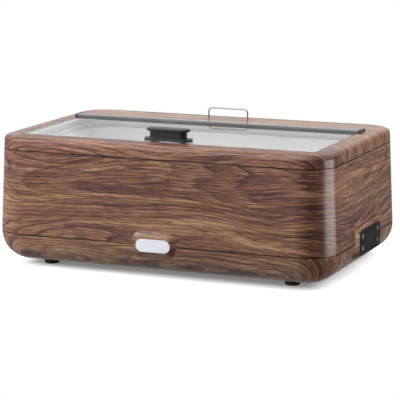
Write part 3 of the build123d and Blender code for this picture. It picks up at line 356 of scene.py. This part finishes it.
# Colours by tone, the mauve cast that changes with depth, and the painted shade of the gaps at the seams.
film_colours = (
    (0.12, srgb(60, 35, 30)),
    (0.34, srgb(94, 60, 50)),
    (0.50, srgb(121, 83, 62)),
    (0.66, srgb(148, 110, 78)),
    (0.90, srgb(184, 148, 108)),
)
rear_lift_band = (-0.05, 0.10)
mauve_cast = (0.88, 0.78, 1.0, 1.0)
mauve_share = 0.8
mauve_band = (0.42, 0.58)
mauve_depth = (-0.16, 0.04)
# Painted shade along the seams: its reach from each seam, its strength and its colour.
seam_shade_band = (0.0006, 0.0014)
seam_shade_share = 0.9
seam_shade_colour = srgb(26, 18, 15)
film_rough_band = (0.3, 0.7)
film_rough = (0.27, 0.21)
film_relief = 0.00012
film_relief_share = 0.35


class Film(Look):
    """Walnut film of one piece, with noise drawn out along its grain."""

    def __init__(self, name, place, seed):
        super().__init__(name)
        self.first, self.second, self.across = place(self)
        self.seed = seed
        self.bent = self.across
        for key, reach in film_bends.items():
            self.bent = self.push(self.field(key, self.across), reach, self.bent)

    def field(self, key, across):
        """Value of one of the film's noise fields."""
        along_rate, across_rate, shift, detail, roughness = film_fields[key]
        vector = self.join(
            self.math("MULTIPLY_ADD", self.first, along_rate, self.seed + shift),
            self.math("MULTIPLY_ADD", self.second, along_rate, self.seed),
            self.times(across, across_rate),
        )
        return self.noise(vector, detail=detail, roughness=roughness)

    def push(self, value, amount, onto):
        """Moves one number by a field's distance from its middle."""
        return self.math("MULTIPLY_ADD", self.math("SUBTRACT", value, 0.5), amount, onto)

    def rings(self):
        """Place inside a growth ring, from 0 to 1, and the share of late wood there."""
        level = self.times(self.bent, rings_per_metre)
        phase = self.math("MULTIPLY_ADD", self.field("figure", self.across), figure_rings, level)
        ring = self.math("FRACT", self.push(self.field("fray", self.across), ring_fray, phase))
        edge = self.times(self.math("ABSOLUTE", self.math("SUBTRACT", ring, 0.5)), 2.0)
        fading = self.remap(self.field("fading", self.across), late_fading, late_least, late_most)
        return ring, self.times(self.rise(edge, late_band), fading)

    def cast(self, colour, y, front_mauve, rear_mauve):
        """Colour with patches of a mauve cast, by its share at the front and the rear."""
        share = self.remap(y, mauve_depth, front_mauve, rear_mauve)
        least = self.remap(y, mauve_depth, front_mauve - mauve_share, 0.0)
        patches = self.rise(self.field("mauve", self.bent), mauve_band)
        tinted = self.mix(1.0, colour, mauve_cast, "MULTIPLY")
        return self.mix(self.math("MULTIPLY_ADD", patches, share, least), colour, tinted)

    def seam(self, colour, z, height):
        """Colour darkened near a height: painted shade for the gap at a seam."""
        away = self.math("ABSOLUTE", self.math("SUBTRACT", z, height))
        return self.mix(self.remap(away, seam_shade_band, seam_shade_share, 0.0), colour, seam_shade_colour)


def walnut(
    name, place, seed, seams=(), pale=0.0, rear_lift=0.0, front_mauve=mauve_share, rear_mauve=mauve_share,
):
    """Printed walnut film under a satin lacquer, with painted shade along the seams for the shadow in their
    gaps.
    """
    film = Film(name, place, seed)
    spot = film.split(film.place())
    ring, late = film.rings()
    layers = {key: film.field(key, film.bent) for key in film_layers}
    tone = pale
    for key, (band, weight) in film_layers.items():
        tone = film.math("MULTIPLY_ADD", film.rise(layers[key], band), weight, tone)
    tone = film.math("MULTIPLY_ADD", ring, ring_weight, tone)
    tone = film.math("ADD", tone, film.remap(spot["Y"], rear_lift_band, 0.0, rear_lift))
    colour = film.cast(film.ramp(tone, film_colours), spot["Y"], front_mauve, rear_mauve)
    colour = film.mix(late, colour, late_colour)
    # Painted shade along each seam, for the shadow in its gap.
    for height in seams:
        colour = film.seam(colour, spot["Z"], height)
    relief = film.math("MULTIPLY_ADD", layers["lines"], 0.5, film.times(layers["pores"], 0.5))
    film.surface({
        "Base Color": colour,
        "Roughness": film.remap(layers["lines"], film_rough_band, *film_rough),
        "Normal": film.bump(relief, film_relief, film_relief_share),
        "Specular IOR Level": 0.5,
    })
    return film.material


# The part of a noise value that counts in plastic and metal, and the marks of handling on plastic.
noise_band = (0.3, 0.7)
marks_scale = 34.0
marks_band = (0.35, 0.7)
grain_share = 0.6


def moulded(
    name, colour, rough, grain=0.00004, grain_scale=900.0, spread=0.05, marking=1.35,
    specular=0.5, transmission=0.0,
):
    """Moulded plastic or rubber with a fine grain and faint handling marks."""
    look = Look(name)
    place = look.place()
    fine = look.noise(place, grain_scale, detail=2.0)
    marks = look.noise(place, marks_scale, detail=4.0, roughness=0.6)
    look.surface({
        "Base Color": look.mix(look.rise(marks, marks_band), colour, shaded(colour, marking)),
        "Roughness": look.remap(marks, noise_band, rough - spread, rough + spread),
        "Normal": look.bump(fine, grain, grain_share),
        "Specular IOR Level": specular,
        "Transmission Weight": transmission,
    })
    return look.material


# Marks along metal, and the slow clouds that dull it.
line_rough = 0.05
scratch_share = 0.5
cloud_scale = 9.0
cloud_rough = 0.03
cloud_shade = 0.88


def steel(name, colour, rough, stretch=(30.0, 30.0, 900.0), scratch=0.00002, metallic=1.0):
    """Rolled or drawn metal with fine marks in one direction."""
    look = Look(name)
    place = look.place()
    lines = look.noise(look.scaled(place, *stretch), detail=3.0, roughness=0.6)
    cloud = look.noise(place, cloud_scale, detail=3.0, roughness=0.55)
    drawn = look.remap(lines, noise_band, rough - line_rough, rough + line_rough)
    dulled = look.remap(cloud, noise_band, -cloud_rough, cloud_rough)
    look.surface({
        "Base Color": look.mix(look.rise(cloud, noise_band), colour, shaded(colour, cloud_shade)),
        "Metallic": metallic,
        "Roughness": look.math("ADD", drawn, dulled),
        "Normal": look.bump(lines, scratch, scratch_share),
    })
    return look.material


# Glass: its edges and faces, the wiping marks on them, and how much it mirrors.
glass_edge = srgb(196, 214, 207)
glass_clean = (0.985, 0.99, 0.988, 1.0)
glass_smeared = (0.965, 0.975, 0.97, 1.0)
glass_face_band = (0.4, 0.9)
smear_stretch = (6.0, 30.0, 30.0)
smear_band = (0.4, 0.7)
smear_rough_band = (0.45, 0.75)
smear_rough = 0.02
glass_index = 1.45
glass_mirror = 0.78


def clear_glass(name):
    """Toughened glass: clear faces that mirror more at a low angle, and green edges."""
    look = Look(name)
    normal = look.split(look.add("TexCoord").outputs["Normal"])
    faces = look.rise(look.math("ABSOLUTE", normal["Z"]), glass_face_band)
    wiped = look.noise(look.scaled(look.place(), *smear_stretch), detail=4.0, roughness=0.6)
    clear = look.mix(look.rise(wiped, smear_band), glass_clean, glass_smeared)
    passing = look.add("BsdfTransparent", {0: look.mix(faces, glass_edge, clear)})
    mirror = look.add("BsdfGlossy", {0: white, 1: look.remap(wiped, smear_rough_band, 0.0, smear_rough)})
    front = look.math("SUBTRACT", 1.0, look.add("NewGeometry").outputs["Backfacing"])
    share = look.times(look.add("Fresnel", {0: glass_index}).outputs[0], look.times(front, glass_mirror))
    look.show(look.mix_shader(share, passing.outputs[0], mirror.outputs[0]))
    return look.material


def paint(material, *names):
    """Gives CAD nodes one material."""
    for name in names:
        for slot in nodes[name].material_slots:
            slot.material = material


# Case in walnut film.
paint(walnut("walnut_body", band_place, seed=3.1, seams=(lower_seam_z, upper_seam_z)), "body_shell")
paint(
    walnut(
        "walnut_top", top_place, seed=5.7, seams=(upper_seam_z,),
        rear_lift=0.06, front_mauve=1.4, rear_mauve=0.25,
    ),
    "top_frame",
)
paint(walnut("walnut_tray", tray_place, seed=14.2, seams=(lower_seam_z,), pale=0.08), "base_tray")
paint(walnut("walnut_badge", front_place, seed=21.0), "badge_bezel")
paint(walnut("walnut_panel", side_place, seed=27.5), "panel_bezel")

# Plastic, rubber, ceramic and fibre.
paint(
    moulded("black_satin", srgb(36, 36, 37), rough=0.34, specular=0.4),
    "knob_base", "knob_grip", "hinge_ear_left", "hinge_ear_right", "inlet_housing",
)
paint(
    moulded(
        "black_gloss", srgb(10, 10, 11), rough=0.06, grain=0.000004, grain_scale=500.0,
        spread=0.02, specular=0.1,
    ),
    "control_panel",
)
paint(
    moulded(
        "smoked_window", srgb(14, 15, 17), rough=0.04, grain=0.000002, grain_scale=300.0,
        spread=0.02, specular=0.15,
    ),
    "display_window",
)
paint(
    moulded("rail_grey", srgb(92, 91, 91), rough=0.20, grain=0.00003, grain_scale=700.0, specular=1.0),
    "hinge_rail",
)
paint(
    moulded("button_grey", srgb(70, 70, 72), rough=0.36),
    "button_power", "button_timer", "button_plus", "button_minus",
)
paint(
    moulded("white_plate", srgb(234, 236, 242), rough=0.30, grain=0.00001, grain_scale=600.0, marking=1.03),
    "badge_plate",
)
paint(
    moulded("foot_rubber", srgb(24, 24, 24), rough=0.72, grain=0.00008, grain_scale=1200.0),
    "foot_front_left", "foot_rear_left", "foot_front_right", "foot_rear_right", "knob_washers",
)
paint(moulded("silicone", srgb(206, 208, 208), rough=0.32, transmission=0.5), "lid_bumpers")
paint(
    moulded("ceramic", srgb(228, 222, 206), rough=0.55, grain=0.00005, grain_scale=700.0),
    "element_terminals",
)
paint(moulded("sensor_black", srgb(40, 40, 40), rough=0.42), "temperature_sensor", "thermal_cutout")
paint(
    moulded("mineral_fibre", srgb(214, 206, 180), rough=0.93, grain=0.0006, grain_scale=420.0),
    "insulation",
)
paint(
    moulded("circuit_board", srgb(28, 92, 56), rough=0.38, grain=0.00005, grain_scale=1500.0),
    "control_board", "power_board",
)

# Metal and glass.
paint(
    steel("zinc_screw", srgb(188, 190, 192), rough=0.28, stretch=(400.0, 400.0, 400.0)),
    "foot_screws", "body_screws", "shield_screws", "board_screws", "inlet_screws", "ear_screws",
    "collar_screws", "knob_screws", "bail_nuts", "hinge_pins",
)
paint(
    steel("pan_steel", srgb(229, 229, 230), rough=0.36, metallic=0.45),
    "food_pan", "water_pan", "drip_collar",
)
paint(
    steel("sheet_steel", srgb(180, 180, 178), rough=0.36, stretch=(900.0, 20.0, 20.0)),
    "heat_shield", "element_clamps",
)
paint(
    steel("wire_chrome", srgb(172, 166, 162), rough=0.16, stretch=(300.0, 300.0, 300.0), scratch=0.000005),
    "wire_bail",
)
paint(steel("aluminium", srgb(206, 207, 210), rough=0.38, stretch=(20.0, 900.0, 20.0)), "heat_plate")
paint(
    steel("element_sheath", srgb(92, 88, 82), rough=0.48, stretch=(120.0, 900.0, 900.0)),
    "heating_element",
)
paint(steel("brass", srgb(206, 176, 104), rough=0.22, stretch=(500.0, 500.0, 500.0)), "inlet_pins")
paint(clear_glass("clear_glass"), "glass_lid")


def add_mesh(name, verts, faces, material):
    """New object of a mesh with one material."""
    mesh = bpy.data.meshes.new(name)
    mesh.from_pydata(verts, [], faces)
    mesh.materials.append(material)
    piece = bpy.data.objects.new(name, mesh)
    bpy.context.scene.collection.objects.link(piece)
    return piece


def ribbon(verts, faces, points, closed, low, high):
    """Adds a flat raised stroke along points, given as (y, z), between two heights along X."""
    corners = 4
    count = len(points)
    start = len(verts)
    for index, (y, z) in enumerate(points):
        before = points[index - 1] if closed or index > 0 else points[index]
        after = points[(index + 1) % count] if closed or index < count - 1 else points[index]
        along = Vector((after[0] - before[0], after[1] - before[1])).normalized()
        side = Vector((-along.y, along.x)) * (mark_width / 2)
        for sign, x in ((1, low), (-1, low), (-1, high), (1, high)):
            verts.append((x, y + sign * side.x, z + sign * side.y))
    for index in range(count if closed else count - 1):
        here = start + corners * index
        there = start + corners * ((index + 1) % count)
        for corner in range(corners):
            following = (corner + 1) % corners
            faces.append((here + corner, here + following, there + following, there + corner))
    if not closed:
        last = start + corners * (count - 1)
        faces.append(tuple(start + corner for corner in range(corners)))
        faces.append(tuple(last + corner for corner in reversed(range(corners))))


def arc(radius, start, end, steps=28):
    """Points on a circle between two angles in degrees from the right."""
    angles = [math.radians(start + (end - start) * step / steps) for step in range(steps + 1)]
    return [(radius * math.cos(angle), radius * math.sin(angle)) for angle in angles]


def add_marks(node, material, strokes):
    """Printed symbol on a button's face, of (points, closed) strokes about the button's middle."""
    low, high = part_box(node)
    middle_y = (low.y + high.y) / 2
    middle_z = (low.z + high.z) / 2
    verts, faces = [], []
    for points, closed in strokes:
        moved = [(middle_y + y, middle_z + z) for y, z in points]
        ribbon(verts, faces, moved, closed, high.x - mark_sunk, high.x + mark_proud)
    mark = add_mesh(node + "_mark", verts, faces, material)
    shape = bmesh.new()
    shape.from_mesh(mark.data)
    bmesh.ops.recalc_face_normals(shape, faces=shape.faces)
    shape.to_mesh(mark.data)
    shape.free()
    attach(mark, node.replace("button_", "") + "_button")


ink = moulded("mark_ink", srgb(196, 198, 200), rough=0.45, grain=0.00001, grain_scale=1500.0, marking=1.05)
level_bar = [(-mark_reach, 0.0), (mark_reach, 0.0)]
upright_bar = [(0.0, -mark_reach), (0.0, mark_reach)]
add_marks("button_power", ink, (
    (arc(mark_reach, *power_arc), False),
    ([(0.0, power_bar[0]), (0.0, power_bar[1])], False),
))
add_marks("button_timer", ink, (
    (arc(mark_reach, 0, 360)[:-1], True),
    ([(0.0, clock_hands[0]), (0.0, 0.0), (clock_hands[1], 0.0)], False),
))
add_marks("button_plus", ink, ((level_bar, False), (upright_bar, False)))
add_marks("button_minus", ink, ((level_bar, False),))


def add_floor():
    """Pale floor that keeps the dish's soft shadow and shows white to the camera."""
    look = Look("floor_pale")
    place = look.split(look.place())
    past_x = look.math("MAXIMUM", look.math("SUBTRACT", look.math("ABSOLUTE", place["X"]), straight_x), 0.0)
    past_y = look.math("MAXIMUM", look.math("SUBTRACT", look.math("ABSOLUTE", place["Y"]), straight_y), 0.0)
    apart = look.math("SUBTRACT", look.length(past_x, past_y), corner_radius)
    near_glow = look.glow(look.remap(apart, floor_glow_band, *floor_glow))
    near = look.add("AddShader", {0: look.diffuse(floor_pale), 1: near_glow}).outputs[0]
    shown = look.mix_shader(look.rise(apart, floor_white_band), near, look.glow(1.0))
    path = look.add("LightPath").outputs
    straight = look.math("MAXIMUM", path["Is Camera Ray"], path["Is Transmission Ray"])
    look.show(look.mix_shader(straight, look.diffuse(floor_bounce), shown))
    corners = [
        (-floor_reach, -floor_reach, 0.0), (floor_reach, -floor_reach, 0.0),
        (floor_reach, floor_reach, 0.0), (-floor_reach, floor_reach, 0.0),
    ]
    floor = add_mesh("floor", corners, [(0, 1, 2, 3)], look.material)
    floor.visible_glossy = False


def add_world():
    """White to the camera; what gloss shows changes round the dish, as in a studio with dark sides."""
    world = bpy.data.worlds.new("studio")
    bpy.context.scene.world = world
    world.use_nodes = True
    sky = Graph(world.node_tree)
    x, y, z = sky.split(sky.add("TexCoord").outputs["Generated"])
    turn = sky.math("ARCTAN2", x, sky.times(y, -1.0))

    def turned(band):
        return [math.radians(degrees) for degrees in band]

    stops = [((degrees + 180) / 360, (level, level, level, 1.0)) for degrees, level in gloss_levels]
    around = sky.ramp(sky.rise(turn, (-math.pi, math.pi)), stops)
    high = sky.rise(z, overhead_band)
    gloss = sky.times(around, sky.math("SUBTRACT", 1.0, high))
    gloss = sky.math("ADD", gloss, sky.times(high, overhead_gloss))
    wall = sky.times(sky.rise(z, wall_foot), sky.fall(z, wall_top), sky.fall(turn, turned(wall_end)))
    gloss = sky.math("ADD", gloss, sky.times(wall, wall_gloss))
    front = sky.times(sky.rise(z, front_foot), sky.fall(z, front_top))
    front = sky.times(front, sky.rise(turn, turned(front_start)), sky.fall(turn, turned(front_end)))
    gloss = sky.math("ADD", gloss, sky.times(front, front_gloss))

    def background(strength):
        return sky.add("Background", {0: white, 1: strength}).outputs[0]

    path = sky.add("LightPath").outputs
    bounced = sky.math("GREATER_THAN", path["Glossy Depth"], 0.5)
    seen = sky.math("MAXIMUM", path["Is Camera Ray"], path["Is Transmission Ray"])
    seen = sky.times(seen, sky.math("SUBTRACT", 1.0, bounced))
    lit = sky.mix_shader(bounced, background(fill_level), background(gloss))
    sky.add("OutputWorld", {0: sky.mix_shader(seen, lit, background(1.0))})


def add_card():
    """Bright card that only gloss sees, for the long light on the front right corner."""
    look = Look("strip_glow")
    place = look.split(look.place())
    sides = look.times(look.rise(place["Y"], card_front), look.fall(place["Y"], card_rear))
    ends = look.times(look.rise(place["Z"], card_foot), look.fall(place["Z"], card_top))
    clear = look.add("BsdfTransparent").outputs[0]
    look.show(look.mix_shader(look.times(sides, ends), clear, look.glow(card_gloss)))
    front, rear = card_y
    foot, top = card_z
    corners = [(card_x, front, foot), (card_x, rear, foot), (card_x, rear, top), (card_x, front, top)]
    card = add_mesh("strip_card", corners, [(0, 1, 2, 3)], look.material)
    card.visible_camera = False
    card.visible_diffuse = False
    card.visible_transmission = False
    card.visible_shadow = False


def facing(place, target):
    """Rotation that turns a lamp or the camera at a place towards a point."""
    return (Vector(target) - Vector(place)).to_track_quat("-Z", "Y").to_euler()


def add_lamp(name, place, target, size, power):
    """Rectangular soft lamp turned towards a point."""
    data = bpy.data.lights.new(name, "AREA")
    data.shape = "RECTANGLE"
    data.size, data.size_y = size
    data.energy = power
    lamp = bpy.data.objects.new(name, data)
    lamp.visible_glossy = False
    lamp.location = place
    lamp.rotation_euler = facing(place, target)
    bpy.context.scene.collection.objects.link(lamp)


def add_camera():
    """Camera at the photograph's place."""
    data = bpy.data.cameras.new("camera")
    data.lens = camera_lens
    data.sensor_width = camera_sensor
    data.clip_end = camera_reach
    camera = bpy.data.objects.new("camera", data)
    camera.location = camera_place
    camera.rotation_euler = facing(camera_place, camera_target)
    bpy.context.scene.collection.objects.link(camera)
    bpy.context.scene.camera = camera


add_floor()
add_world()
add_card()
for lamp_name, settings in lamps.items():
    add_lamp(lamp_name, *settings)
add_camera()

scene = bpy.context.scene
scene.view_settings.view_transform = "Standard"
